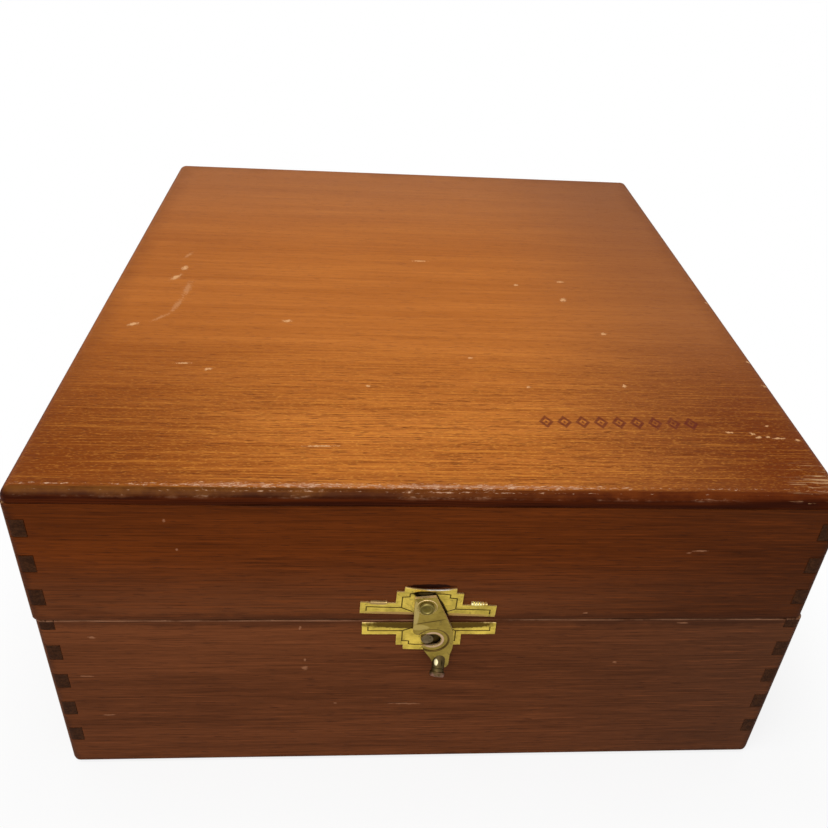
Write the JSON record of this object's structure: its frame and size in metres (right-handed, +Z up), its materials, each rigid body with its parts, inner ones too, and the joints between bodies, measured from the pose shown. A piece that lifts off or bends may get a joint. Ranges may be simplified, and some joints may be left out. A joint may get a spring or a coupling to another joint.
{
  "type": "wooden cigar box",
  "caption": "Hinged wooden cigar box with finger-jointed corners, a liner that stands up as a lip, and a brass swing latch.",
  "frame": {"origin": "middle of the base's underside", "axes": "+X to the right along the front, +Y from the front with the latch to the back with the hinges, +Z up"},
  "size_m": [0.2036, 0.2371, 0.102],
  "materials": {
    "stained_wood": "red-brown stained boards with straight grain, satin and worn at the edges",
    "top_wood": "orange-brown stained panel with straight grain, satin and worn at the front edge",
    "cedar_liner": "unfinished cedar, matt",
    "latch_brass": "stamped brass, satin, with pink wear at the edges",
    "hinge_brass": "thin brass sheet, slightly dull",
    "steel": "dull grey steel"
  },
  "bodies": {
    "base": {"base_front_board": "stained_wood", "base_back_board": "stained_wood", "base_left_board": "stained_wood", "base_right_board": "stained_wood", "base_bottom_panel": "stained_wood", "liner_front": "cedar_liner", "liner_back": "cedar_liner", "liner_left": "cedar_liner", "liner_right": "cedar_liner", "latch_base_plate": "latch_brass", "latch_keeper_stud": "steel", "hinge_left_base_leaf": "hinge_brass", "hinge_right_base_leaf": "hinge_brass", "hinge_left_pin": "steel", "hinge_right_pin": "steel", "hinge_base_nails": "hinge_brass"},
    "lid": {"lid_front_board": "stained_wood", "lid_back_board": "stained_wood", "lid_left_board": "stained_wood", "lid_right_board": "stained_wood", "lid_top_panel": "top_wood", "latch_lid_plate": "latch_brass", "latch_pivot_rivet": "latch_brass", "hinge_left_lid_leaf": "hinge_brass", "hinge_right_lid_leaf": "hinge_brass", "hinge_lid_nails": "hinge_brass"},
    "hook": {"latch_hook": "latch_brass", "latch_pull_knob": "latch_brass"}
  },
  "joints": [
    {"name": "lid_hinge", "type": "hinge", "parent": "base", "child": "lid", "pos_m": [0, 0.11565, 0.06], "axis": [-1, 0, 0], "range_deg": [0, 180]},
    {"name": "hook_pivot", "type": "hinge", "parent": "lid", "child": "hook", "pos_m": [-0.0019, -0.114, 0.0668], "axis": [0, -1, 0], "range_deg": [0, 180]}
  ]
}
